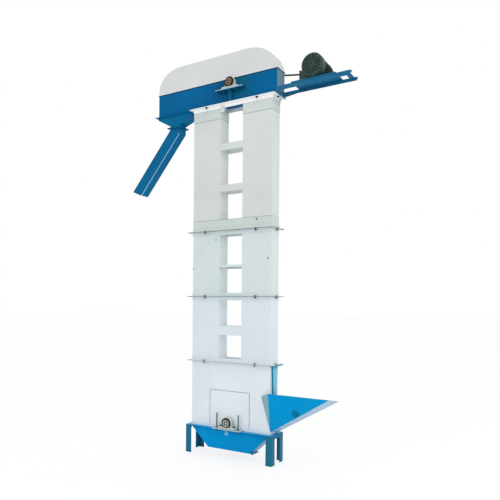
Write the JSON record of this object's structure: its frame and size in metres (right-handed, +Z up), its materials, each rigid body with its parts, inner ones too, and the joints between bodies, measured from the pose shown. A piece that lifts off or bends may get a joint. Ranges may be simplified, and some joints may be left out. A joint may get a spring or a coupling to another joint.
{
  "type": "bucket elevator",
  "caption": "Twin-leg belt bucket elevator for grain, with boot hopper, head drive motor and sloping discharge spout.",
  "frame": {"origin": "middle of the bounding box on the floor under the feet", "axes": "+Z up along the legs, +X to the inlet and motor side, +Y from the spout-side front to the belt side"},
  "size_m": [2.3886, 0.36, 3.746],
  "materials": {
    "white_paint": "satin",
    "deep_blue_paint": "satin",
    "bright_blue_paint": "gloss",
    "teal_blue_paint": "satin",
    "motor_enamel": "satin",
    "bearing_housing": "satin",
    "pulley_casting": "matte",
    "turned_steel": "satin",
    "zinc_steel": "satin",
    "dark_bolts": "matte",
    "galvanised_sheet": "satin",
    "belt_rubber": "matte",
    "fan_plastic": "matte"
  },
  "bodies": {
    "root": {"base_frame": "teal_blue_paint", "base_leg_front_left": "teal_blue_paint", "base_leg_front_right": "teal_blue_paint", "base_leg_rear_left": "teal_blue_paint", "base_leg_rear_right": "teal_blue_paint", "boot_trough": "bright_blue_paint", "boot_casing": "white_paint", "boot_cover_front": "white_paint", "boot_cover_rear": "white_paint", "inlet_hopper": "bright_blue_paint", "inlet_side_plate": "bright_blue_paint", "lower_left_duct": "white_paint", "lower_right_duct": "white_paint", "lower_frame": "white_paint", "middle_left_duct": "white_paint", "middle_right_duct": "white_paint", "middle_frame": "white_paint", "upper_left_duct": "white_paint", "upper_right_duct": "white_paint", "upper_frame": "white_paint", "upper_collars": "white_paint", "casing_bolts": "dark_bolts", "head_casing": "deep_blue_paint", "head_hood": "white_paint", "head_bracket_front": "deep_blue_paint", "head_bracket_rear": "deep_blue_paint", "head_block_front": "bearing_housing", "head_block_rear": "bearing_housing", "head_fasteners": "zinc_steel", "discharge_transition": "deep_blue_paint", "discharge_spout": "deep_blue_paint", "motor_rail_front": "teal_blue_paint", "motor_rail_rear": "teal_blue_paint", "rail_cross_bars": "teal_blue_paint", "elevator_belt": "belt_rubber", "ascending_buckets": "galvanised_sheet", "descending_buckets": "galvanised_sheet", "bucket_bolts": "zinc_steel", "drive_belt": "belt_rubber", "take_up_rods": "zinc_steel"},
    "boot_take_up": {"take_up_plate_front": "teal_blue_paint", "take_up_plate_rear": "teal_blue_paint", "boot_block_front": "bearing_housing", "boot_block_rear": "bearing_housing", "take_up_nuts": "zinc_steel"},
    "boot_rotor": {"boot_shaft": "turned_steel", "boot_drum": "turned_steel"},
    "head_rotor": {"head_shaft": "turned_steel", "head_drum": "turned_steel", "driven_pulley": "pulley_casting"},
    "motor": {"motor_base_plate": "teal_blue_paint", "motor_frame": "motor_enamel", "motor_end_shields": "motor_enamel", "fan_cowl": "motor_enamel", "terminal_box": "motor_enamel", "motor_bolts": "zinc_steel"},
    "motor_rotor_set": {"motor_rotor": "turned_steel", "cooling_fan": "fan_plastic", "motor_pulley": "pulley_casting"},
    "cleanout_slide": {"cleanout_gate": "dark_bolts"}
  },
  "joints": [
    {"name": "head_shaft_spin", "type": "hinge", "parent": "root", "child": "head_rotor", "pos_m": [0.03434, -0.038, 3.455], "axis": [0, -1, 0], "continuous": true},
    {"name": "boot_take_up_slide", "type": "slide", "parent": "root", "child": "boot_take_up", "axis": [0, 0, 1], "range_m": [0, 0.04]},
    {"name": "boot_shaft_spin", "type": "hinge", "parent": "boot_take_up", "child": "boot_rotor", "pos_m": [0.03434, -0.038, 0.3273], "axis": [0, -1, 0], "continuous": true},
    {"name": "motor_slide", "type": "slide", "parent": "root", "child": "motor", "axis": [1, 0, 0], "range_m": [-0.04, 0]},
    {"name": "motor_spin", "type": "hinge", "parent": "motor", "child": "motor_rotor_set", "pos_m": [0.86234, -0.038, 3.4303], "axis": [0, -1, 0], "continuous": true},
    {"name": "cleanout_gate_slide", "type": "slide", "parent": "root", "child": "cleanout_slide", "axis": [1, 0, 0], "range_m": [0, 0.13]}
  ],
  "couplings": [
    {"joint": "boot_shaft_spin", "follows": "head_shaft_spin", "ratio": 1},
    {"joint": "motor_spin", "follows": "head_shaft_spin", "ratio": 4.039}
  ]
}
